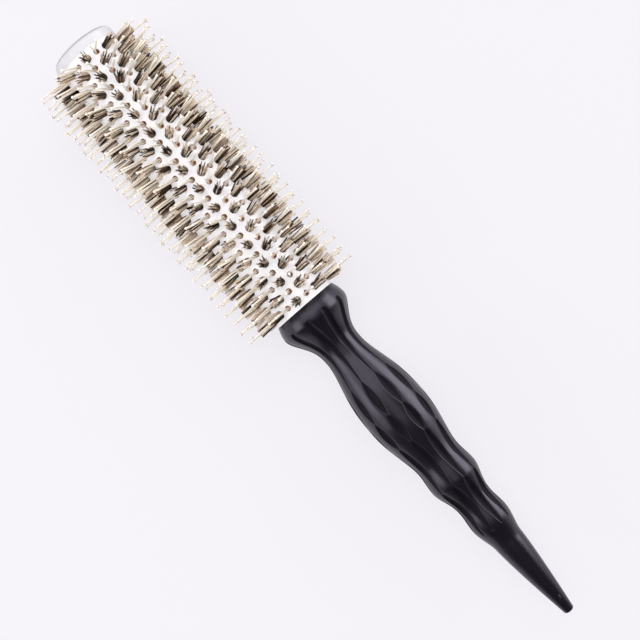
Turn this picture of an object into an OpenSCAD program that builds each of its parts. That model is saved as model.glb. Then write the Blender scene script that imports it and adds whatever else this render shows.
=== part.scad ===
// Round barrel brush: a perforated coated sleeve over a bristle core, folded bristle tufts,
// folded ball-tipped pins, an end cap and a wave-fluted handle on a steel tang.
// The brush axis is X. x = 0 is the flat end of the cap, and the handle's tip points to +X.
// +Z is up: the brush lies on its two lowest lines of pins.

/* [Barrel] */
// Outside diameter of the coated sleeve
barrel_d = 25; // [24:0.5:28]
// Length of the sleeve, from the handle to the end cap
sleeve_l = 119; // [70:1:150]
// Wall thickness of the sleeve
sleeve_wall = 0.9; // [0.6:0.1:1.2]
// Distance from one ring of holes to the next, along the barrel
station_pitch = 4.34; // [4.2:0.02:6]
// Distance from the handle to the first ring of holes
first_station = 3; // [2.6:0.1:6]
// Smallest distance from the last ring of holes to the end cap
last_station_min = 3; // [2.6:0.1:6]
// Radial gap between the core and the sleeve
sleeve_fit = 0.05; // [0.03:0.01:0.15]

/* [Bristle tufts] */
// Diameter of the holes that hold the tufts
tuft_hole_d = 3.1; // [2.8:0.05:3.2]
// Depth of the tuft holes, from the outside of the sleeve
tuft_hole_depth = 5.3; // [4.6:0.1:5.8]
// Diameter over the trimmed ends of the tufts, right across the brush
tuft_trim_d = 38; // [34:0.5:44]
// Diameter of one tuft at its trimmed end
tuft_tip_d = 4.2; // [3.2:0.1:4.6]
// Radial gap between a tuft and its hole
tuft_fit = 0.1; // [0.05:0.01:0.2]
// Thickness of the flat wire anchor that a tuft is folded over
anchor_t = 0.4; // [0.3:0.05:0.6]
// Height of the anchor, along its hole
anchor_h = 1.5; // [1:0.1:2]
// Gap round the anchor
anchor_fit = 0.04; // [0.02:0.01:0.1]

/* [Pins] */
// Diameter of the holes that hold the pins
pin_hole_d = 2.25; // [2.2:0.01:2.3]
// Depth of the pin holes, from the outside of the sleeve
pin_hole_depth = 3.7; // [3.2:0.1:4]
// Diameter over the tips of the pins, right across the brush
pin_reach_d = 50.4; // [46:0.2:58]
// Diameter of the pin filament
pin_d = 0.68; // [0.56:0.02:0.74]
// Diameter of the ball on the end of a pin
pin_ball_d = 1.1; // [0.9:0.05:1.4]
// Angle round the brush from a hole to the middle of its two pin tips
pin_turn = 4.7; // [4.2:0.1:5]
// Angle round the brush from that middle to each tip
pin_spread = 4.1; // [3.8:0.1:4.4]
// Gap between the two pins of a hole, where they pass each other
pin_pair_gap = 0.06; // [0.04:0.01:0.1]
// Depth below the sleeve's surface at which they pass each other
pin_cross_depth = 2.2; // [1.6:0.1:2.2]
// Gap under the foot of a pin
pin_fit = 0.02; // [0.01:0.01:0.1]

/* [End cap] */
// Length of the cap beyond the sleeve
cap_l = 4.5; // [3:0.1:8]
// How far the cap stands proud of the sleeve, all round
cap_lip = 0.15; // [0:0.05:0.5]
// Rounding of the cap's outer rim
cap_round = 1.6; // [0.8:0.1:2.4]
// Diameter of the plug inside the core
cap_plug_d = 10; // [8:0.5:11]
// Length of the plug
cap_plug_l = 9; // [5:0.5:14]

/* [Tang] */
// Diameter of the steel tang that joins the handle to the core
tang_d = 6; // [5:0.5:6.5]
// Length of the tang inside the handle
tang_in_handle = 45; // [25:1:60]
// Length of the tang inside the core
tang_in_core = 50; // [25:1:52]
// Radial gap round the tang, the plug and the spigot
tang_fit = 0.03; // [0.02:0.01:0.06]
// Gap at the blind end of a bore
end_gap = 0.3; // [0.2:0.1:1]
// Diameter of the spigot on the handle
spigot_d = 10; // [8.5:0.5:11]
// Length of the spigot
spigot_l = 8; // [4:0.5:12]

/* [Handle] */
// Length of the handle, from the barrel to its tip
handle_l = 146; // [136:1:170]
// How far the handle stands proud of the sleeve at the seam, all round
seam_lip = 0.15; // [0:0.05:0.5]
// Diameter of the collar's shoulder, and its distance from the barrel
shoulder_d = 27.9; // [27.5:0.1:31]
shoulder_x = 5.2; // [4:0.1:7]
// Diameter of the neck, and its distance from the barrel
neck_d = 15.9; // [14:0.1:18]
neck_x = 21.4; // [19:0.1:25]
// Diameter of the belly, and its distance from the barrel
belly_d = 24.6; // [21:0.1:28]
belly_x = 52; // [48:0.5:56]
// Diameter of the first waist, and its distance from the barrel
waist_d = 18.4; // [16:0.1:20]
waist_x = 73.2; // [70:0.1:76]
// Diameter of the swell behind the first waist, and its distance from the barrel
swell_d = 19.7; // [18.5:0.1:22]
swell_x = 81.7; // [79:0.1:86]
// Diameter of the second waist, and its distance from the barrel
pinch_d = 14.5; // [12.5:0.1:16]
pinch_x = 94.3; // [91:0.1:96]
// Diameter of the last swell, and its distance from the barrel
knuckle_d = 15.6; // [14.6:0.1:18]
knuckle_x = 101.6; // [99:0.1:104]
// Diameter at the root of the tail, and its distance from the barrel
tail_d = 11.7; // [10:0.1:13]
tail_x = 112.6; // [109:0.1:117]
// Diameter of the tail's tip before its rounding
tip_d = 3.8; // [3:0.1:6]
// Rounding of the tip
tip_round = 0.9; // [0.4:0.1:1.3]

/* [Flutes] */
// Number of flutes round the handle
flutes = 11; // [8:1:12]
// Angle of the first flute from the top of the brush
flute_turn = 15.5; // [-16:0.5:16]
// Depth of a flute as a share of its half width
flute_slope = 0.56; // [0.4:0.01:0.7]
// Half width of the groove where two scoops meet
flute_pinch = 0.25; // [0.15:0.01:0.4]
// Where the flutes start, and where each scoop hands over to the next
scoop_x0 = 4.8; // [4:0.1:6]
scoop_x1 = 34; // [30:0.1:38]
scoop_x2 = 48.7; // [46:0.1:54]
scoop_x3 = 60.9; // [58:0.1:66]
scoop_x4 = 83; // [78:0.1:88]
scoop_x5 = 104.3; // [100:0.1:108]
// Largest half width of each scoop, from the barrel to the tail
scoop_w1 = 1.35; // [0.8:0.05:1.8]
scoop_w2 = 1.65; // [0.8:0.05:2]
scoop_w3 = 1.75; // [0.8:0.05:2]
scoop_w4 = 1.5; // [0.8:0.05:1.8]
scoop_w5 = 1.6; // [0.8:0.05:1.8]

/* [Hidden] */
$fn = 48;
// Rows of holes round the barrel; tufts and pins swap places from row to row, so it is even
rows = 18;
row_turn = 360 / rows;
// Row 1 is turned from the top so that two lines of pin tips lie level at the bottom
first_row = row_turn / 2 - pin_turn;
barrel_r = barrel_d / 2;
core_r = barrel_r - sleeve_wall - sleeve_fit;
// Where the barrel meets the handle
seam_x = cap_l + sleeve_l;
stations = floor((sleeve_l - first_station - last_station_min) / station_pitch) + 1;
tang_bore_r = tang_d / 2 + tang_fit;

// Two pins share a hole and lean apart; side is -1 for one and 1 for the other.
// They stand side by side along the brush where they pass, and their tips are in line.
pin_x = (pin_d + pin_pair_gap) / 2;
pin_cross_z = barrel_r - pin_cross_depth;
pin_ball_reach = (pin_reach_d - pin_ball_d) / 2;
function pin_tip(side) =
    let (a = pin_turn + side * pin_spread)
    [0, -pin_ball_reach * sin(a), pin_ball_reach * cos(a)];
function pin_way(side) = pin_tip(side) - [side * pin_x, 0, pin_cross_z];
function pin_lean(side) = acos(pin_way(side)[2] / norm(pin_way(side)));
function pin_below(side) =
    let (lean = pin_lean(side))
    (pin_hole_depth - pin_cross_depth - pin_fit - pin_d / 2 * sin(lean)) / cos(lean);

// Handle sections: distance from the barrel, radius, and how early the change to it comes
seam_r = barrel_r + seam_lip;
sections = [
    [shoulder_x, shoulder_d / 2, 1],
    [neck_x, neck_d / 2, 1.42],
    [belly_x, belly_d / 2, 1.52],
    [waist_x, waist_d / 2, 0.87],
    [swell_x, swell_d / 2, 1.05],
    [pinch_x, pinch_d / 2, 1.22],
    [knuckle_x, knuckle_d / 2, 1.12],
    [tail_x, tail_d / 2, 0.94],
];
// Scoops: start, end, largest half width, and below 1 where the widest point comes early
scoops = [
    [scoop_x0, scoop_x1, scoop_w1, 0.4],
    [scoop_x1, scoop_x2, scoop_w2, 1],
    [scoop_x2, scoop_x3, scoop_w3, 1],
    [scoop_x3, scoop_x4, scoop_w4, 0.7],
    [scoop_x4, scoop_x5, scoop_w5, 0.7],
];
tail_curve = 1.26;
ring_gap = 2.25;
rib_steps = 4;
// Half width of a flute's floor as a share of the flute's
flute_floor = 0.45;
tip_steps = 4;

function two_digits(n) = n < 10 ? str("0", n) : str(n);
function tuft_node(k) = str("tuft_row_", two_digits(k));
function pin_node(k) = str("pin_row_", two_digits(k));

// Row k is turned from the top towards -Y; station i is counted from the handle
function row_angle(k) = first_row + (k - 1) * row_turn;
function station_x(i) = seam_x - first_station - i * station_pitch;
function is_tuft(k, i) = (k + i) % 2 == 1;

module at_row(k) rotate([row_angle(k), 0, 0]) children();

module at_tufts(k)
    for (i = [0:stations - 1])
        if (is_tuft(k, i)) translate([station_x(i), 0, 0]) children();

module at_pins(k)
    for (i = [0:stations - 1])
        if (!is_tuft(k, i)) translate([station_x(i), 0, 0]) children();

// Every radial hole, from its depth below the sleeve's surface to clear outside it
module radial_holes() {
    for (k = [1:rows]) at_row(k) {
        at_tufts(k) translate([0, 0, barrel_r - tuft_hole_depth])
            cylinder(d = tuft_hole_d, h = tuft_hole_depth + 1);
        at_pins(k) translate([0, 0, barrel_r - pin_hole_depth])
            cylinder(d = pin_hole_d, h = pin_hole_depth + 1);
    }
}

// A round bar along X
module bar(r, x0, x1) translate([x0, 0, 0]) rotate([0, 90, 0]) cylinder(r = r, h = x1 - x0);

module barrel_sleeve() color("whitesmoke") difference() {
    bar(barrel_r, cap_l, seam_x);
    bar(barrel_r - sleeve_wall, cap_l - 1, seam_x + 1);
    radial_holes();
}

module bristle_core() color("peru") difference() {
    bar(core_r, cap_l, seam_x);
    bar(tang_bore_r, seam_x - tang_in_core - end_gap, seam_x + 1);
    bar(spigot_d / 2 + tang_fit, seam_x - spigot_l - end_gap, seam_x + 1);
    bar(cap_plug_d / 2 + tang_fit, cap_l - 1, cap_l + cap_plug_l + end_gap);
    radial_holes();
}

// The cap is turned about the brush axis: outer disc with a rounded rim, and a plug
module end_cap() color("silver") translate([cap_l, 0, 0]) rotate([0, -90, 0]) {
    rim = barrel_r + cap_lip;
    rotate_extrude() difference() {
        union() {
            square([rim, cap_l - cap_round]);
            square([rim - cap_round, cap_l]);
            translate([rim - cap_round, cap_l - cap_round]) circle(cap_round);
            translate([0, -cap_plug_l]) square([cap_plug_d / 2, cap_plug_l + 1]);
        }
        translate([-2 * rim, -cap_plug_l - 1]) square([2 * rim, cap_l + cap_plug_l + 2]);
    }
}

module tang() color("lightsteelblue") 
    bar(tang_d / 2, seam_x - tang_in_core, seam_x + tang_in_handle);

// A folded tuft: straight in its hole, flared outside, slotted where it lies over its anchor
module tuft() {
    foot = barrel_r - tuft_hole_depth;
    root_r = tuft_hole_d / 2 - tuft_fit;
    slot = anchor_t + 2 * anchor_fit;
    difference() {
        rotate_extrude() polygon([
            [0, foot],
            [root_r, foot],
            [root_r, barrel_r],
            [tuft_tip_d / 2, tuft_trim_d / 2],
            [0, tuft_trim_d / 2],
        ]);
        translate([-tuft_hole_d, -slot / 2, foot - 1])
            cube([2 * tuft_hole_d, slot, anchor_h + anchor_fit + 1]);
    }
}

// One pin of a given length: a straight filament with a ball on its end
module pin(l) rotate_extrude() intersection() {
    union() {
        square([pin_d / 2, l]);
        translate([0, l]) circle(d = pin_ball_d);
    }
    square([pin_ball_d, l + pin_ball_d]);
}

// The two pins of a hole
module pin_pair()
    for (side = [-1, 1]) {
        way = pin_way(side);
        translate([side * pin_x, 0, pin_cross_z])
            rotate([0, pin_lean(side), atan2(way[1], way[0])])
                translate([0, 0, -pin_below(side)])
                    pin(pin_below(side) + norm(way));
    }

module tuft_row(k) color("tan") at_row(k) at_tufts(k) tuft();
module pin_row(k) color("bisque") at_row(k) at_pins(k) pin_pair();

module tuft_anchors() color("gainsboro") for (k = [1:rows]) at_row(k) at_tufts(k)
    translate([-tuft_hole_d / 2 + tuft_fit, -anchor_t / 2, barrel_r - tuft_hole_depth])
        cube([tuft_hole_d - 2 * tuft_fit, anchor_t, anchor_h]);

// Smooth change from 0 to 1; it comes early where bias is above 1
function ease(t, bias) = let (s = 1 - pow(1 - t, bias)) s * s * (3 - 2 * s);

// Radius of the ribs at x
function rib_r(x) =
    x <= shoulder_x
        ? seam_r + (shoulder_d / 2 - seam_r) * (1 - pow(1 - x / shoulder_x, 2))
    : x >= tail_x
        ? tail_d / 2 + (tip_d - tail_d) / 2 * pow((x - tail_x) / (handle_l - tail_x), tail_curve)
    : let (
        n = max([for (i = [0:len(sections) - 2]) if (sections[i][0] <= x) i]),
        a = sections[n],
        b = sections[n + 1]
    ) a[1] + (b[1] - a[1]) * ease((x - a[0]) / (b[0] - a[0]), b[2]);

// Radius at x with the tip rounded off
function outer_r(x) =
    let (past = x - (handle_l - tip_round))
    past <= 0 ? rib_r(x) : rib_r(x) - tip_round + sqrt(max(0, tip_round * tip_round - past * past));

// Half width of a flute at x, and its depth
function flute_w(x) = flute_pinch + max([0, for (s = scoops)
    if (x > s[0] && x < s[1])
        (s[2] - flute_pinch) * pow(sin(180 * pow((x - s[0]) / (s[1] - s[0]), s[3])), 0.8)
]);
function flute_depth(x) = x <= scoop_x0 || x >= scoop_x5 ? 0 : flute_slope * flute_w(x);

// Evenly spread stops from a up to, but not including, b
function stops(a, b) = let (n = ceil((b - a) / ring_gap)) [for (i = [0:n - 1]) a + (b - a) * i / n];

handle_stops = concat(
    [0, 0.35 * scoop_x0, 0.7 * scoop_x0],
    [for (s = scoops) each stops(s[0], s[1])],
    stops(scoop_x5, tail_x),
    [for (i = [0:3]) tail_x + (handle_l - tip_round - tail_x) * i / 4],
    [for (i = [0:tip_steps]) handle_l - tip_round + tip_round * sin(90 * i / tip_steps)]
);

// One ring of points: each flute is a round scoop with a narrow floor, and each rib has its own
// points
function ring(x) = [
    for (f = [0:flutes - 1])
        let (
            r = outer_r(x),
            pitch = 360 / flutes,
            edge = flute_w(x) / r * 180 / PI,
            rib = (pitch - 2 * edge) / rib_steps
        )
        for (s = [-2:rib_steps])
            let (
                a = flute_turn + f * pitch + (s < 0 ? (2 * s + 3) * flute_floor * edge : edge + s * rib),
                rr = s < 0 ? r - (1 - flute_floor * flute_floor) * flute_depth(x) : r
            )
            [seam_x + x, -rr * sin(a), rr * cos(a)]
];

module handle_shell() {
    n = flutes * (rib_steps + 3);
    m = len(handle_stops);
    polyhedron(
        points = [for (x = handle_stops) each ring(x)],
        faces = concat(
            [[for (j = [0:n - 1]) j]],
            [for (i = [0:m - 2], j = [0:n - 1])
                let (a = i * n + j, b = i * n + (j + 1) % n)
                each [[a, a + n, b], [b, a + n, b + n]]],
            [[for (j = [n - 1:-1:0]) (m - 1) * n + j]]
        )
    );
}

module handle() color([0.12, 0.12, 0.13]) difference() {
    union() {
        handle_shell();
        bar(spigot_d / 2, seam_x - spigot_l, seam_x + 1);
    }
    bar(tang_bore_r, seam_x - spigot_l - 1, seam_x + tang_in_handle + end_gap);
}

barrel_sleeve();
bristle_core();
end_cap();
handle();
tang();
tuft_anchors();
for (k = [1:rows]) tuft_row(k);
for (k = [1:rows]) pin_row(k);
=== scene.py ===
import math
import random

import bpy
from mathutils import Matrix, Vector
from mathutils.bvhtree import BVHTree


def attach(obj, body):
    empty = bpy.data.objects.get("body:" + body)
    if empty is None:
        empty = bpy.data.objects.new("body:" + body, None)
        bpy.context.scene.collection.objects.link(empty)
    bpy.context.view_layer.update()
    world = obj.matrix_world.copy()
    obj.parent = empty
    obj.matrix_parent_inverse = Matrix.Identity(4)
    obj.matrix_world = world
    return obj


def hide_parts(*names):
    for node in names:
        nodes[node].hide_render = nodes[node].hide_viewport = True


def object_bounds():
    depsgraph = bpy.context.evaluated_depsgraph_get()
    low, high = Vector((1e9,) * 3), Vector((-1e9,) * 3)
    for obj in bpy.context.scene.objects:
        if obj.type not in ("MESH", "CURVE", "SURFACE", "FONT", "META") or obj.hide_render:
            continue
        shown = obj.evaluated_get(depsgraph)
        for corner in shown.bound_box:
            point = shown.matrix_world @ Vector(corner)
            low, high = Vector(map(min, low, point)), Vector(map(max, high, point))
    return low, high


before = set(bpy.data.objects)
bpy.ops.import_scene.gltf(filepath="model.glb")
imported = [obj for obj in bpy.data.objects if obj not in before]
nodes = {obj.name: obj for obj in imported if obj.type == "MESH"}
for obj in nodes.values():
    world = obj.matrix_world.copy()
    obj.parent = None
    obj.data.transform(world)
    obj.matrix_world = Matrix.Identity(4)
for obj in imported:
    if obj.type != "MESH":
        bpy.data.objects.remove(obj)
cad_lo, cad_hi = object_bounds()
MM = 0.001

# ---------------------------------------------------------------- camera
W, H = 640, 640
L = max(W, H)
LENS = 75.86
SENSOR = 36.0
SHIFT_X, SHIFT_Y = 0.0, 0.0
AIM = Vector((130.95, 0.68, 0.01)) * MM
DISTANCE = 487.8 * MM
AZIMUTH = 0.150  # degrees that the camera leans from straight above to the handle's tip
ELEVATION = 0.582  # degrees that it is turned about the brush axis, to -Y
ROLL = 49.015  # degrees that the brush axis drops to the right in the picture


def camera_axes():
    """The camera's right, up and backward directions."""
    az, ph = math.radians(AZIMUTH), math.radians(ELEVATION)
    back = Vector((math.sin(az), -math.sin(ph) * math.cos(az), math.cos(ph) * math.cos(az)))
    along = (Vector((1, 0, 0)) - back * back.x).normalized()
    across = back.cross(along)
    r = math.radians(ROLL)
    right = along * math.cos(r) + across * math.sin(r)
    up = across * math.cos(r) - along * math.sin(r)
    return right, up, back


RIGHT, UP, BACK = camera_axes()
EYE = AIM + BACK * DISTANCE
cam_data = bpy.data.cameras.new("camera")
cam = bpy.data.objects.new("camera", cam_data)
bpy.context.scene.collection.objects.link(cam)
bpy.context.scene.camera = cam
cam_data.sensor_fit = "AUTO"
cam_data.sensor_width = SENSOR
cam_data.lens = LENS
cam_data.shift_x, cam_data.shift_y = SHIFT_X, SHIFT_Y
cam_data.clip_start, cam_data.clip_end = 0.01, 20
cam.matrix_world = Matrix.Translation(EYE) @ Matrix((RIGHT, UP, BACK)).transposed().to_4x4()

# Image points in the photograph's frame, in pixels
POINTS = {
    "hole_1_0": (296.4, 301.2),
    "hole_1_26": (86.1, 59.1),
    "hole_18_0": (306.0, 292.8),
    "hole_18_24": (113.0, 69.7),
    "hole_2_0": (288.0, 308.4),
    "hole_2_26": (78.7, 67.2),
    "hole_17_0": (314.0, 286.0),
    "hole_17_25": (114.7, 55.3),
    "seam_upper": (331.7, 282.6),
    "seam_lower": (279.7, 327.6),
    "cap_upper": (105.0, 25.0),
    "cap_lower": (56.2, 69.4),
    "neck_upper": (360.3, 336.1),
    "belly_upper": (425.2, 393.0),
    "belly_lower": (373.8, 437.3),
    "tip": (570.4, 609.8),
    "gate_mark": (559.6, 596.0),
}

# ---------------------------------------------------------------- sizes of the part, in mm
BARREL_R = 12.5
SEAM_X = 123.5  # the handle meets the barrel here
HANDLE_L = 146.0
ROWS = 18
STATIONS = 27
FIRST_STATION = 3.0  # from the seam to the first ring of holes
STATION_PITCH = 4.34
PIN_TURN = 4.7  # degrees that the pins lean round the barrel
FIRST_ROW = 180 / ROWS - PIN_TURN  # degrees from the top to row 1


def station_x(i):
    return SEAM_X - FIRST_STATION - i * STATION_PITCH


def is_tuft(k, i):
    """Tuft holes and pin holes take turns along a row and from row to row."""
    return (k + i) % 2 == 1


def row_name(kind, k):
    return f"{kind}_row_{k:02d}"


def in_row(k, p):
    """A point of row k's own frame, z outwards, in the part's frame."""
    a = math.radians(FIRST_ROW + (k - 1) * 360 / ROWS)
    c, s = math.cos(a), math.sin(a)
    return Vector((p[0], p[1] * c - p[2] * s, p[1] * s + p[2] * c))


# ---------------------------------------------------------------- node materials
NOISE_LOW, NOISE_HIGH = 0.3, 0.7  # most of a noise lies between these


class Shader:
    """A small helper to write node trees."""

    def __init__(self, name):
        self.mat = bpy.data.materials.new(name)
        self.mat.use_nodes = True
        self.tree = self.mat.node_tree
        self.bsdf = self.tree.nodes["Principled BSDF"]
        coords = self.tree.nodes.new("ShaderNodeTexCoord")
        self.place = coords.outputs["Object"]

    def add(self, kind, **values):
        node = self.tree.nodes.new("ShaderNode" + kind)
        for key, value in values.items():
            setattr(node, key, value)
        return node

    def link(self, a, b):
        self.tree.links.new(a, b)

    def set(self, **values):
        for key, value in values.items():
            self.bsdf.inputs[key.replace("_", " ")].default_value = value

    def noise(self, scale, detail=2.0, rough=0.5, stretch=None):
        place = self.place
        if stretch:
            m = self.add("Mapping")
            m.inputs["Scale"].default_value = stretch
            self.link(place, m.inputs["Vector"])
            place = m.outputs["Vector"]
        n = self.add("TexNoise")
        n.inputs["Scale"].default_value = scale
        n.inputs["Detail"].default_value = detail
        n.inputs["Roughness"].default_value = rough
        self.link(place, n.inputs["Vector"])
        return n.outputs["Fac"]

    def ramp(self, fac, *stops):
        r = self.add("ValToRGB")
        e = r.color_ramp.elements
        while len(e) < len(stops):
            e.new(0.5)
        for el, (pos, col) in zip(e, stops):
            el.position = pos
            el.color = (*col, 1)
        self.link(fac, r.inputs["Fac"])
        return r.outputs["Color"]

    def remap(self, value, a, b, c, d):
        m = self.add("MapRange")
        for key, v in zip(("From Min", "From Max", "To Min", "To Max"), (a, b, c, d)):
            m.inputs[key].default_value = v
        self.link(value, m.inputs["Value"])
        return m.outputs["Result"]

    def mix(self, fac, a, b, mode="MIX"):
        m = self.add("Mix", data_type="RGBA", blend_type=mode)
        for key, v in ((0, fac), (6, a), (7, b)):
            if isinstance(v, tuple):
                m.inputs[key].default_value = (*v, 1)
            elif isinstance(v, (int, float)):
                m.inputs[key].default_value = v
            else:
                self.link(v, m.inputs[key])
        return m.outputs[2]

    def shades(self, noise, dark, light, low=NOISE_LOW, high=NOISE_HIGH):
        """A colour that wanders from dark to light with the noise."""
        return self.ramp(noise, (low, dark), (high, light))

    def color(self, socket):
        self.link(socket, self.bsdf.inputs["Base Color"])

    def roughness(self, noise, least, most):
        """A roughness that wanders from least to most with the noise."""
        wander = self.remap(noise, NOISE_LOW, NOISE_HIGH, least, most)
        self.link(wander, self.bsdf.inputs["Roughness"])

    def bump(self, height, strength, distance):
        b = self.add("Bump")
        b.inputs["Strength"].default_value = strength
        b.inputs["Distance"].default_value = distance
        self.link(height, b.inputs["Height"])
        self.link(b.outputs["Normal"], self.bsdf.inputs["Normal"])

    def along(self):
        """Distance along the brush axis, in metres."""
        split = self.add("SeparateXYZ")
        self.link(self.place, split.inputs[0])
        return split.outputs["X"]

    def radius(self):
        """Distance from the brush axis, in metres."""
        flat = self.add("VectorMath", operation="MULTIPLY")
        flat.inputs[1].default_value = (0, 1, 1)
        self.link(self.place, flat.inputs[0])
        out = self.add("VectorMath", operation="LENGTH")
        self.link(flat.outputs["Vector"], out.inputs[0])
        return out.outputs["Value"]


def ceramic_coat():
    s = Shader("ceramic_coat")
    s.color(s.shades(s.noise(260, 3), (0.93, 0.928, 0.955), (0.96, 0.957, 0.98), low=0.35))
    s.roughness(s.noise(900, 2), 0.36, 0.48)
    s.bump(s.noise(2600, 2), 0.25, 0.00006)
    return s.mat


def core_plastic():
    """Amber plastic, with painted shade that darkens it towards the foot of the holes."""
    s = Shader("core_plastic")
    # painted shade: the amber is multiplied darker towards the foot of the holes, where shade
    # falls
    painted_hole_shade = s.remap(s.radius(), 0.0085, 0.0112, 0.8, 1.0)
    amber = s.shades(s.noise(420, 3), (0.82, 0.37, 0.10), (0.95, 0.52, 0.19))
    s.color(s.mix(1.0, amber, painted_hole_shade, "MULTIPLY"))
    s.roughness(s.noise(700, 2), 0.35, 0.5)
    s.bump(s.noise(1800, 2), 0.2, 0.00005)
    return s.mat


def cap_silver():
    """The cap, with painted shade: its end face and rim are painted a darker lavender-grey than
    its side.
    """
    s = Shader("cap_silver")
    silver = s.shades(s.noise(300, 4), (0.64, 0.635, 0.66), (0.69, 0.685, 0.71))
    # painted shade: this mask paints the end face and its rim darker than the side
    face = s.remap(s.along(), 0.0003, 0.0012, 0.0, 1.0)
    s.color(s.mix(face, (0.38, 0.37, 0.425), silver))
    s.roughness(s.noise(500, 3, stretch=(0.25, 1, 1)), 0.50, 0.60)
    s.bump(s.noise(1500, 3, stretch=(0.15, 1, 1)), 0.15, 0.00004)
    s.set(Metallic=0.15)
    return s.mat


def handle_black():
    s = Shader("handle_black")
    s.color(s.shades(s.noise(120, 4), (0.0052, 0.0042, 0.0066), (0.0074, 0.0060, 0.0092)))
    s.roughness(s.noise(1400, 3), 0.27, 0.33)
    s.bump(s.noise(2200, 3), 0.12, 0.00005)
    s.set(Specular_IOR_Level=0.62, Specular_Tint=(0.87, 0.81, 1.0, 1.0))
    return s.mat


def handle_groove():
    """The flutes have about the handle's colour in a more matt finish."""
    s = Shader("handle_groove")
    s.color(s.shades(s.noise(160, 4), (0.0048, 0.0040, 0.0060), (0.0072, 0.0061, 0.0090)))
    s.roughness(s.noise(1400, 3), 0.40, 0.50)
    s.bump(s.noise(2600, 3), 0.2, 0.00006)
    s.set(Specular_IOR_Level=0.13, Specular_Tint=(0.86, 0.81, 1.0, 1.0))
    return s.mat


def gate_scar():
    s = Shader("gate_scar")
    s.color(s.shades(s.noise(2500, 3), (0.055, 0.052, 0.062), (0.12, 0.115, 0.13)))
    s.roughness(s.noise(3000, 2), 0.5, 0.7)
    s.bump(s.noise(5000, 3), 0.4, 0.00004)
    return s.mat


def steel(name, dark, light, rough):
    s = Shader(name)
    s.color(s.shades(s.noise(900, 3, stretch=(0.05, 1, 1)), dark, light))
    s.roughness(s.noise(600, 2), rough, rough + 0.12)
    s.bump(s.noise(1600, 2, stretch=(0.05, 1, 1)), 0.2, 0.00005)
    s.set(Metallic=1.0)
    return s.mat


def hair(name, dark, light, rough):
    """Streaked bristle, with painted shade that darkens it near its root, by the barrel."""
    s = Shader(name)
    streak = s.shades(s.noise(1500, 2, 0.6), dark, light, 0.32, 0.68)
    # painted shade: bristles are painted darker towards the barrel, where the tufts shade their
    # own bases
    root = s.remap(s.radius(), 0.0118, 0.0148, 0.62, 1.0)
    s.color(s.mix(1.0, streak, root, "MULTIPLY"))
    s.roughness(s.noise(2200, 2), rough, rough + 0.15)
    s.set(Specular_IOR_Level=0.16, Specular_Tint=(1.0, 0.84, 0.72, 1.0))
    return s.mat


def nylon(name, dark, light, rough):
    s = Shader(name)
    s.color(s.shades(s.noise(700, 2), dark, light))
    s.roughness(s.noise(1500, 2), rough, rough + 0.1)
    s.set(
        Specular_IOR_Level=0.3,
        Subsurface_Weight=0.35,
        Subsurface_Radius=(1.0, 0.8, 0.6),
        Subsurface_Scale=0.001,
    )
    return s.mat


MATS = {
    "ceramic_coat": ceramic_coat(),
    "core_plastic": core_plastic(),
    "cap_silver": cap_silver(),
    "handle_black": handle_black(),
    "handle_groove": handle_groove(),
    "gate_scar": gate_scar(),
    "tang_steel": steel("tang_steel", (0.42, 0.42, 0.43), (0.60, 0.60, 0.61), 0.28),
    "anchor_wire": steel("anchor_wire", (0.55, 0.54, 0.52), (0.72, 0.71, 0.69), 0.25),
    "bristle_blond": hair("bristle_blond", (0.76, 0.625, 0.485), (0.95, 0.84, 0.705), 0.42),
    "bristle_brown": hair("bristle_brown", (0.18, 0.102, 0.057), (0.42, 0.288, 0.192), 0.38),
    "bristle_dark": hair("bristle_dark", (0.016, 0.006, 0.002), (0.066, 0.032, 0.017), 0.34),
    "nylon_pin": nylon("nylon_pin", (0.92, 0.82, 0.695), (0.96, 0.88, 0.765), 0.46),
    "nylon_tip": nylon("nylon_tip", (0.92, 0.83, 0.725), (0.955, 0.885, 0.79), 0.5),
}

# The nodes that are carried over as they are, and what each is made of
for node, finish in (
    ("barrel_sleeve", "ceramic_coat"),
    ("bristle_core", "core_plastic"),
    ("end_cap", "cap_silver"),
    ("tang", "tang_steel"),
    ("tuft_anchors", "anchor_wire"),
):
    for slot in nodes[node].material_slots:
        slot.material = MATS[finish]


# ---------------------------------------------------------------- meshes
def square_to(d):
    """Two directions square to d and to each other."""
    side = d.cross(Vector((1, 0, 0)) if abs(d.x) < 0.8 else Vector((0, 1, 0))).normalized()
    return side, d.cross(side)


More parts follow.
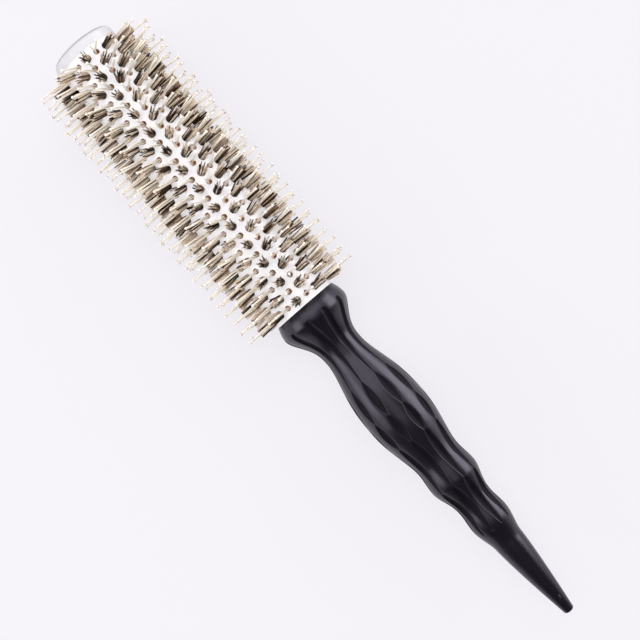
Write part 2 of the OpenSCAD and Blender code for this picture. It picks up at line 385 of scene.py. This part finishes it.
class Builder:
    """Collects points in mm, faces and each face's material, and makes one object of them."""

    def __init__(self):
        self.points, self.faces, self.kinds = [], [], []

    def tube(self, path, radii, sides, kind, spin=0.0):
        """A tapered tube along a path, closed at its far end."""
        first = len(self.points)
        for n, (p, r) in enumerate(zip(path, radii)):
            a, b = path[max(n - 1, 0)], path[min(n + 1, len(path) - 1)]
            side, up = square_to((b - a).normalized())
            for j in range(sides):
                t = spin + 2 * math.pi * j / sides
                self.points.append(p + (side * math.cos(t) + up * math.sin(t)) * r)
        for n in range(len(path) - 1):
            for j in range(sides):
                a, b = first + n * sides + j, first + n * sides + (j + 1) % sides
                self.faces.append((a, b, b + sides, a + sides))
                self.kinds.append(kind)
        self.faces.append(tuple(first + (len(path) - 1) * sides + j for j in range(sides)))
        self.kinds.append(kind)

    def drop(self, centre, axis, r, length, kind, sides=10, steps=6):
        """A ball drawn out a little along its axis."""
        side, up = square_to(axis)
        first = len(self.points)
        self.points.append(centre - axis * length)
        for n in range(1, steps):
            t = math.pi * n / steps
            for j in range(sides):
                a = 2 * math.pi * j / sides
                ring = (side * math.cos(a) + up * math.sin(a)) * (r * math.sin(t))
                self.points.append(centre - axis * (length * math.cos(t)) + ring)
        last = len(self.points)
        self.points.append(centre + axis * length)
        for j in range(sides):
            k = (j + 1) % sides
            self.faces.append((first, first + 1 + k, first + 1 + j))
            self.kinds.append(kind)
            for n in range(steps - 2):
                a, b = first + 1 + n * sides + j, first + 1 + n * sides + k
                self.faces.append((a, b, b + sides, a + sides))
                self.kinds.append(kind)
            end = first + 1 + (steps - 2) * sides
            self.faces.append((end + j, end + k, last))
            self.kinds.append(kind)

    def make(self, name, materials):
        mesh = bpy.data.meshes.new(name)
        mesh.from_pydata([tuple(p * MM) for p in self.points], [], self.faces)
        for m in materials:
            mesh.materials.append(MATS[m])
        mesh.polygons.foreach_set("material_index", self.kinds)
        mesh.polygons.foreach_set("use_smooth", [True] * len(self.faces))
        mesh.update()
        obj = bpy.data.objects.new(name, mesh)
        bpy.context.scene.collection.objects.link(obj)
        return obj


# ---------------------------------------------------------------- bristle tufts
TUFT_TRIM_R = 19.15  # from the brush axis to the trimmed ends
TUFT_FOOT = 8.7  # from the brush axis to the feet
TUFT_BEND_Z = BARREL_R - 0.6  # below this a bristle stands straight in its hole
TUFT_FLARE = 1.42  # a lock's place at the tip over its place in the hole
LOCK_RINGS = ((1, 0.0), (4, 0.62), (8, 1.16))  # number of locks and distance from the middle
LOCK_R = 0.24
BLOND, BROWN, DARK = 0, 1, 2
BRISTLES = {BLOND: 5, BROWN: 4, DARK: 4}  # in one lock
BRISTLE_R = {BLOND: 0.16, BROWN: 0.135, DARK: 0.135}
SAME_COLOUR = 0.93  # share of bristles with their lock's colour
STRAYS = 0.075  # share of bristles that stand out from their lock
BRISTLE_STOPS = (0.0, 0.35, 0.7, 1.0)
BRISTLE_CURVE = 1.12


def disc(rng, r):
    """A random place within a circle."""
    a, q = rng.uniform(0, 2 * math.pi), r * math.sqrt(rng.random())
    return q * math.cos(a), q * math.sin(a)


def tuft_locks(rng):
    """Locks of a few bristles that keep together: place in the hole and colour."""
    blond = min(0.78, max(0.28, rng.gauss(0.54, 0.12)))
    dark = (1 - blond) * rng.uniform(0.52, 0.88)
    locks = []
    for count, r in LOCK_RINGS:
        turn = rng.uniform(0, 2 * math.pi)
        for n in range(count):
            a = turn + 2 * math.pi * (n + rng.uniform(-0.22, 0.22)) / count
            q = r + rng.uniform(-0.12, 0.10)
            t = rng.random()
            kind = BLOND if t < blond else (DARK if t < blond + dark else BROWN)
            locks.append((q * math.cos(a), q * math.sin(a), kind))
    return locks


def bristle_row(k):
    """Every bristle of row k's tufts, in one object."""
    out = Builder()
    for i in range(STATIONS):
        if not is_tuft(k, i):
            continue
        rng = random.Random(1000 * k + i)
        x = station_x(i)
        lean = rng.gauss(0, 0.028), rng.gauss(0, 0.028)
        for la, lb, lock_kind in tuft_locks(rng):
            flare = TUFT_FLARE + rng.uniform(-0.14, 0.14)
            drift = rng.gauss(0, 0.13), rng.gauss(0, 0.13)
            cut = rng.uniform(-0.18, 0.05)
            for _ in range(BRISTLES[lock_kind]):
                da, db = disc(rng, LOCK_R)
                a, b = la + da, lb + db
                same = rng.random() < SAME_COLOUR
                kind = lock_kind if same else rng.choice((BLOND, BROWN, DARK))
                stray = rng.random() < STRAYS
                wide = flare + (rng.uniform(0.1, 0.6) if stray else 0.0)
                uneven = rng.uniform(-1.0, 0.1) if stray else rng.uniform(-0.12, 0.05)
                top = TUFT_TRIM_R + cut + uneven
                rise = top - BARREL_R
                tip_a = la * wide + da * 1.25 + drift[0] + lean[0] * rise
                tip_b = lb * wide + db * 1.25 + drift[1] + lean[1] * rise
                tip_z = math.sqrt(top ** 2 - tip_b ** 2)
                path = [(a * 0.9, b * 0.9, TUFT_FOOT)]
                for t in BRISTLE_STOPS:
                    e = t ** BRISTLE_CURVE
                    z = TUFT_BEND_Z + (tip_z - TUFT_BEND_Z) * t
                    path.append((a + (tip_a - a) * e, b + (tip_b - b) * e, z))
                thick = rng.uniform(0.85, 1.15) * BRISTLE_R[kind]
                radii = [thick, thick, thick, thick * 0.94, thick * 0.74]
                points = [in_row(k, (x + p[0], p[1], p[2])) for p in path]
                out.tube(points, radii, 3, kind, rng.uniform(0, 6))
    obj = out.make(f"bristles_{k:02d}", ("bristle_blond", "bristle_brown", "bristle_dark"))
    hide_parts(row_name("tuft", k))
    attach(obj, "root")
    return obj


# ---------------------------------------------------------------- ball-tipped pins
PIN_R = 0.34
PIN_BALL_R = 0.55
PIN_REACH_R = 25.2  # from the brush axis to the outside of the balls
PIN_INSIDE = 0.06  # a ball stays this far inside that reach
PIN_SHORTER = 0.4  # most that a pin falls short of it
PIN_SPREAD = 4.1  # degrees to each side
PIN_CROSS_Z = BARREL_R - 2.2  # the two pins of a hole cross here
PIN_FOOT_Z = BARREL_R - 3.55
PIN_X = 0.37  # half the distance between the two, along the brush


def pin_row(k):
    """Every pin of row k, two to a hole, in one object."""
    out = Builder()
    for i in range(STATIONS):
        if is_tuft(k, i):
            continue
        rng = random.Random(5000 + 1000 * k + i)
        x = station_x(i)
        for side in (-1, 1):
            reach = PIN_REACH_R - PIN_BALL_R - PIN_INSIDE - rng.uniform(0, PIN_SHORTER)
            angle = math.radians(PIN_TURN + side * PIN_SPREAD + rng.gauss(0, 0.6))
            bow = rng.gauss(0, 0.15), rng.gauss(0, 0.15)
            start = Vector((side * PIN_X, 0, PIN_CROSS_Z))
            end = Vector((rng.gauss(0, 0.32), -reach * math.sin(angle), reach * math.cos(angle)))
            run = end - start
            below = (PIN_FOOT_Z - PIN_CROSS_Z) / run.z
            path = []
            for t in (below, 0.0, 0.25, 0.5, 0.75, 1.0):
                p = start + run * t
                swell = max(0.0, 4 * t * (1 - t))
                path.append(in_row(k, (x + p.x + bow[0] * swell, p.y + bow[1] * swell, p.z)))
            out.tube(path, [PIN_R] * len(path), 10, 0)
            out.drop(path[-1], (path[-1] - path[-2]).normalized(), PIN_BALL_R, PIN_BALL_R, 1)
    obj = out.make(f"pins_{k:02d}", ("nylon_pin", "nylon_tip"))
    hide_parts(row_name("pin", k))
    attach(obj, "root")
    return obj


bristles = [bristle_row(k) for k in range(1, ROWS + 1)]
pins = [pin_row(k) for k in range(1, ROWS + 1)]

# ---------------------------------------------------------------- the wave-fluted handle
SEAM_R = 12.65
SHOULDER_X, SHOULDER_R = 5.2, 13.95
TAIL_X, TAIL_R, TAIL_CURVE = 112.6, 5.85, 1.26
TIP_R, TIP_ROUND = 1.9, 0.9
# Necks and bellies: distance from the seam, radius, and how the curve up to there is skewed
SECTIONS = [
    (SHOULDER_X, SHOULDER_R, 1),
    (21.4, 7.95, 1.42),
    (52, 12.3, 1.52),
    (73.2, 9.2, 0.87),
    (81.7, 9.85, 1.05),
    (94.3, 7.25, 1.22),
    (101.6, 7.8, 1.12),
    (TAIL_X, TAIL_R, 0.94),
]
FLUTES = 11
FLUTE_TURN = 15.5  # degrees from the top to the first flute
FLUTE_SLOPE = 0.56  # depth over half width
FLUTE_PINCH = 0.25  # half width where two scoops meet
# Scoops of a flute: start, end, greatest half width and skew
SCOOPS = [
    (4.8, 34, 1.35, 0.4),
    (34, 48.7, 1.65, 1),
    (48.7, 60.9, 1.75, 1),
    (60.9, 83, 1.5, 0.7),
    (83, 104.3, 1.6, 0.7),
]
SOFT_EDGE = 0.14  # most that a flute's edge is softened to each side
FLOOR_STEPS = (-0.66, -0.46, -0.26, -0.08, 0.08, 0.26, 0.46, 0.66)
RIB_STEPS = 8
GROOVE_MARKS = range(2, 11)  # the faces of a flute between its softened edges
# Rings of points: places before the first scoop, spacing in the scoops, and numbers beyond them
SHOULDER_STOPS = (0, 0.02, 0.06, 0.15, 0.3, 0.45, 0.6, 0.75, 0.88, 0.97)
SCOOP_STEP = 0.42
RUN_OUT_RINGS, TAIL_RINGS, TIP_RINGS = 14, 40, 8
HANDLE, GROOVE = 0, 1


def ease(t, bias):
    """From 0 to 1, flat at both ends."""
    s = 1 - (1 - t) ** bias
    return s * s * (3 - 2 * s)


def rib_r(x):
    """Radius over the ribs at x, from the seam."""
    if x <= SHOULDER_X:
        return SEAM_R + (SHOULDER_R - SEAM_R) * (1 - (1 - x / SHOULDER_X) ** 2)
    if x >= TAIL_X:
        return TAIL_R + (TIP_R - TAIL_R) * ((x - TAIL_X) / (HANDLE_L - TAIL_X)) ** TAIL_CURVE
    n = max(i for i in range(len(SECTIONS) - 1) if SECTIONS[i][0] <= x)
    a, b = SECTIONS[n], SECTIONS[n + 1]
    return a[1] + (b[1] - a[1]) * ease((x - a[0]) / (b[0] - a[0]), b[2])


def outer_r(x):
    """The same radius with the tip rounded."""
    past = x - (HANDLE_L - TIP_ROUND)
    if past <= 0:
        return rib_r(x)
    return rib_r(x) - TIP_ROUND + math.sqrt(max(0.0, TIP_ROUND ** 2 - past ** 2))


def flute_w(x):
    """Half width of a flute at x."""
    w = 0.0
    for a, b, most, bias in SCOOPS:
        if a < x < b:
            w = (most - FLUTE_PINCH) * math.sin(math.pi * ((x - a) / (b - a)) ** bias) ** 0.8
    return FLUTE_PINCH + w


def flute_depth(x):
    return 0.0 if x <= SCOOPS[0][0] or x >= SCOOPS[-1][1] else FLUTE_SLOPE * flute_w(x)


def handle_stops():
    """Where the rings lie, from the seam; they are closest where two scoops meet."""
    xs = [SCOOPS[0][0] * t for t in SHOULDER_STOPS]
    for a, b, _, _ in SCOOPS:
        n = int((b - a) / SCOOP_STEP)
        xs += [a + (b - a) * (0.5 - 0.5 * math.cos(math.pi * i / n)) for i in range(n)]
    last = SCOOPS[-1][1]
    xs += [last + (TAIL_X - last) * i / RUN_OUT_RINGS for i in range(RUN_OUT_RINGS)]
    end = HANDLE_L - TIP_ROUND
    xs += [TAIL_X + (end - TAIL_X) * i / TAIL_RINGS for i in range(TAIL_RINGS)]
    xs += [end + TIP_ROUND * math.sin(math.pi / 2 * i / TIP_RINGS) for i in range(TIP_RINGS + 1)]
    return xs


def handle_ring(x):
    """Points round the handle at x: each flute is a round scoop whose two edges are softened."""
    r, w, depth = outer_r(x), flute_w(x), flute_depth(x)
    pitch = 2 * math.pi / FLUTES
    edge = w / r
    soft = min(SOFT_EDGE, w / 4) / r

    def rad(a):
        return r - depth * max(0.0, 1 - (a / edge) ** 2)

    def blunt(a):
        return 0.5 * rad(a) + 0.25 * (rad(a - soft) + rad(a + soft))

    marks = [(-edge - soft, r), (-edge, blunt(edge)), (-edge + soft, rad(edge - soft))]
    marks += [(t * edge, rad(t * edge)) for t in FLOOR_STEPS]
    marks += [(edge - soft, rad(edge - soft)), (edge, blunt(edge)), (edge + soft, r)]
    rib = pitch - 2 * edge - 2 * soft
    marks += [(edge + soft + rib * j / RIB_STEPS, r) for j in range(1, RIB_STEPS)]
    out = []
    for f in range(FLUTES):
        c = math.radians(FLUTE_TURN) + f * pitch
        for a, q in marks:
            out.append(Vector((SEAM_X + x, -q * math.sin(c + a), q * math.cos(c + a))))
    return out


def make_handle():
    """One skin over all the rings, with the seam's edge and the tip's kept sharp."""
    out = Builder()
    stops = handle_stops()
    rings = [handle_ring(x) for x in stops]
    n = len(rings[0])
    last = (len(rings) - 1) * n
    for ring in rings:
        out.points += ring
    for m, x in enumerate(stops[:-1]):
        fluted = flute_depth(x) > 0
        for j in range(n):
            a, b = m * n + j, m * n + (j + 1) % n
            out.faces.append((a, a + n, b + n, b))
            out.kinds.append(GROOVE if fluted and j % (n // FLUTES) in GROOVE_MARKS else HANDLE)
    hub = len(out.points)
    out.points.append(Vector((SEAM_X, 0, 0)))
    out.points.append(Vector((SEAM_X + HANDLE_L, 0, 0)))
    for j in range(n):
        out.faces.append((hub, j, (j + 1) % n))
        out.faces.append((hub + 1, last + (j + 1) % n, last + j))
        out.kinds += [HANDLE, HANDLE]
    obj = out.make("handle_fluted", ("handle_black", "handle_groove"))
    sharp = obj.data.attributes.new("sharp_edge", "BOOLEAN", "EDGE")
    ends = set(range(n)) | set(range(last, last + n))
    flags = [e.vertices[0] in ends and e.vertices[1] in ends for e in obj.data.edges]
    sharp.data.foreach_set("value", flags)
    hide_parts("handle")
    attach(obj, "root")
    return obj


handle = make_handle()

# ---------------------------------------------------------------- floor, light and background
BACKGROUND = (0.950, 0.930, 0.975, 1)
PAPER = (0.67, 0.65, 0.695, 1)
FLOOR_GLOW = 0.74  # share of the background's own colour where the floor is seen
FLOOR_SIZE, FLOOR_CELLS = 3000, 12
DIM_CEILING = (0.045, 0.045, 0.055, 1)
HORIZON, DIM_ABOVE = 0.02, 0.20  # the mirrored ceiling is pale below one and dim above the other
WORLD_COLOR, WORLD_LIGHT = (0.97, 0.97, 1.0, 1), 0.44
LAMP_COLOR = (1.0, 0.985, 0.99)
BRUSH_MIDDLE = Vector((0.13, 0, 0))


def fresh_tree(owner, kind):
    """The empty node tree of a material or world, and its output node."""
    owner.use_nodes = True
    tree = owner.node_tree
    tree.nodes.clear()
    return tree, tree.nodes.new("ShaderNodeOutput" + kind)


def seen_by(tree, first, *others):
    """1 for rays of the kinds named."""
    path = tree.nodes.new("ShaderNodeLightPath")
    total = path.outputs[first]
    for name in others:
        most = tree.nodes.new("ShaderNodeMath")
        most.operation = "MAXIMUM"
        tree.links.new(total, most.inputs[0])
        tree.links.new(path.outputs[name], most.inputs[1])
        total = most.outputs[0]
    return total


def blend(tree, share, first, second):
    """A mix of two shaders."""
    mixed = tree.nodes.new("ShaderNodeMixShader")
    tree.links.new(share, mixed.inputs[0])
    tree.links.new(first.outputs[0], mixed.inputs[1])
    tree.links.new(second.outputs[0], mixed.inputs[2])
    return mixed


def floor_paper():
    mat = bpy.data.materials.new("floor")
    tree, end = fresh_tree(mat, "Material")
    paper = tree.nodes.new("ShaderNodeBsdfDiffuse")
    paper.inputs["Color"].default_value = PAPER
    glow = tree.nodes.new("ShaderNodeEmission")
    glow.inputs["Color"].default_value = BACKGROUND
    share = tree.nodes.new("ShaderNodeMath")
    share.operation = "MULTIPLY"
    share.inputs[1].default_value = FLOOR_GLOW
    seen = seen_by(tree, "Is Camera Ray", "Is Glossy Ray", "Is Transmission Ray")
    tree.links.new(seen, share.inputs[0])
    mixed = blend(tree, share.outputs[0], paper, glow)
    tree.links.new(mixed.outputs[0], end.inputs["Surface"])
    return mat


def make_floor():
    z = cad_lo.z / MM
    across = FLOOR_CELLS + 1
    out = Builder()
    for iy in range(across):
        for ix in range(across):
            x = 130 + FLOOR_SIZE * (ix / FLOOR_CELLS - 0.5)
            out.points.append(Vector((x, FLOOR_SIZE * (iy / FLOOR_CELLS - 0.5), z)))
    for iy in range(FLOOR_CELLS):
        for ix in range(FLOOR_CELLS):
            a = iy * across + ix
            out.faces.append((a, a + 1, a + across + 1, a + across))
    out.kinds = [0] * len(out.faces)
    MATS["floor"] = floor_paper()
    floor = out.make("floor", ("floor",))


def make_world():
    """A pale studio; gloss mirrors its pale horizon and dim ceiling."""
    world = bpy.data.worlds.new("studio")
    bpy.context.scene.world = world
    tree, end = fresh_tree(world, "World")
    coords = tree.nodes.new("ShaderNodeTexCoord")
    split = tree.nodes.new("ShaderNodeSeparateXYZ")
    tree.links.new(coords.outputs["Generated"], split.inputs[0])
    ceiling = tree.nodes.new("ShaderNodeValToRGB")
    stops = ceiling.color_ramp.elements
    stops[0].position, stops[0].color = HORIZON, BACKGROUND
    stops[1].position, stops[1].color = DIM_ABOVE, DIM_CEILING
    tree.links.new(split.outputs["Z"], ceiling.inputs["Fac"])
    mirrored = tree.nodes.new("ShaderNodeBackground")
    tree.links.new(ceiling.outputs["Color"], mirrored.inputs["Color"])
    plain = tree.nodes.new("ShaderNodeBackground")
    plain.inputs["Color"].default_value = BACKGROUND
    light = tree.nodes.new("ShaderNodeBackground")
    light.inputs["Color"].default_value = WORLD_COLOR
    light.inputs["Strength"].default_value = WORLD_LIGHT
    shown = blend(tree, seen_by(tree, "Is Glossy Ray"), light, mirrored)
    shown = blend(tree, seen_by(tree, "Is Camera Ray", "Is Transmission Ray"), shown, plain)
    tree.links.new(shown.outputs[0], end.inputs["Surface"])


def lamp(name, spot, size, radiance):
    """A soft box at a spot in metres, turned to the brush."""
    data = bpy.data.lights.new(name, "AREA")
    data.shape = "RECTANGLE"
    data.size, data.size_y = size
    data.energy = radiance * math.pi * size[0] * size[1]
    data.color = LAMP_COLOR
    obj = bpy.data.objects.new(name, data)
    bpy.context.scene.collection.objects.link(obj)
    back = (Vector(spot) - BRUSH_MIDDLE).normalized()
    wide = (Vector((1, 0, 0)) - back * back.x).normalized()
    turn = Matrix((wide, back.cross(wide), back)).transposed().to_4x4()
    obj.matrix_world = Matrix.Translation(spot) @ turn
    return obj


make_floor()
make_world()
lamp("soft_over", (-0.42, 0.02, 1.10), (0.62, 1.90), 1.85)
lamp("soft_ceiling", (0.10, 0.00, 1.15), (0.75, 0.60), 0.8)
lamp("soft_right", (0.10, 1.02, 0.38), (1.10, 0.60), 4.4).visible_diffuse = False
lamp("soft_left", (-0.07, -0.93, 0.52), (0.66, 0.55), 3.2)
lamp("fill_right", (0.13, 1.20, 0.60), (1.2, 0.8), 1.7).visible_glossy = False
lamp("fill", (0.13, 0.02, 1.46), (0.9, 0.9), 2.6).visible_glossy = False

bpy.context.scene.view_settings.view_transform = "Standard"

# ---------------------------------------------------------------- placing things on surfaces through image points
bpy.context.view_layer.update()


RAY_STEPS = 200  # places tried along a ray that misses


def place_on(obj, x, y):
    """Where the ray through an image point meets obj, or the place on it nearest the ray."""
    tree = BVHTree.FromObject(obj, bpy.context.evaluated_depsgraph_get())
    local = Vector((x - W / 2 + SHIFT_X * L, H / 2 - y + SHIFT_Y * L, -L * LENS / SENSOR))
    ray = (RIGHT * local.x + UP * local.y + BACK * local.z).normalized()
    hit, normal, _, _ = tree.ray_cast(EYE, ray)
    if hit is not None:
        return hit, normal
    best = None
    for n in range(RAY_STEPS):
        q = EYE + ray * (DISTANCE * (0.8 + 0.4 * n / RAY_STEPS))
        near, normal, _, gap = tree.find_nearest(q)
        if best is None or gap < best[2]:
            best = near, normal, gap
    return best[0], best[1]


GATE_L, GATE_BOW, GATE_R, GATE_SINK = 0.85, 0.34, 0.13, 0.03
GATE_STEPS = 14


def make_gate_mark():
    """The small crescent that the mould's gate leaves near the tip, with a drop beside it."""
    spot, normal = place_on(handle, *POINTS["gate_mark"])
    along = (Vector((1, 0, 0)) - normal * normal.x).normalized()
    across = normal.cross(along)
    out = Builder()
    path, radii = [], []
    for n in range(GATE_STEPS + 1):
        t = 2 * n / GATE_STEPS - 1
        bow = across * (GATE_BOW * (t * t - 0.4))
        path.append(spot / MM + along * (GATE_L * t) + bow - normal * (GATE_SINK + 0.12 * t ** 4))
        radii.append(GATE_R * math.sqrt(max(0.05, 1 - t * t)))
    out.tube(path, radii, 8, 0)
    out.drop(spot / MM + across * 0.12 - normal * 0.02, across, 0.12, 0.30, 0)
    obj = out.make("gate_mark", ("gate_scar",))
    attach(obj, "root")
    return obj


gate_mark = make_gate_mark()
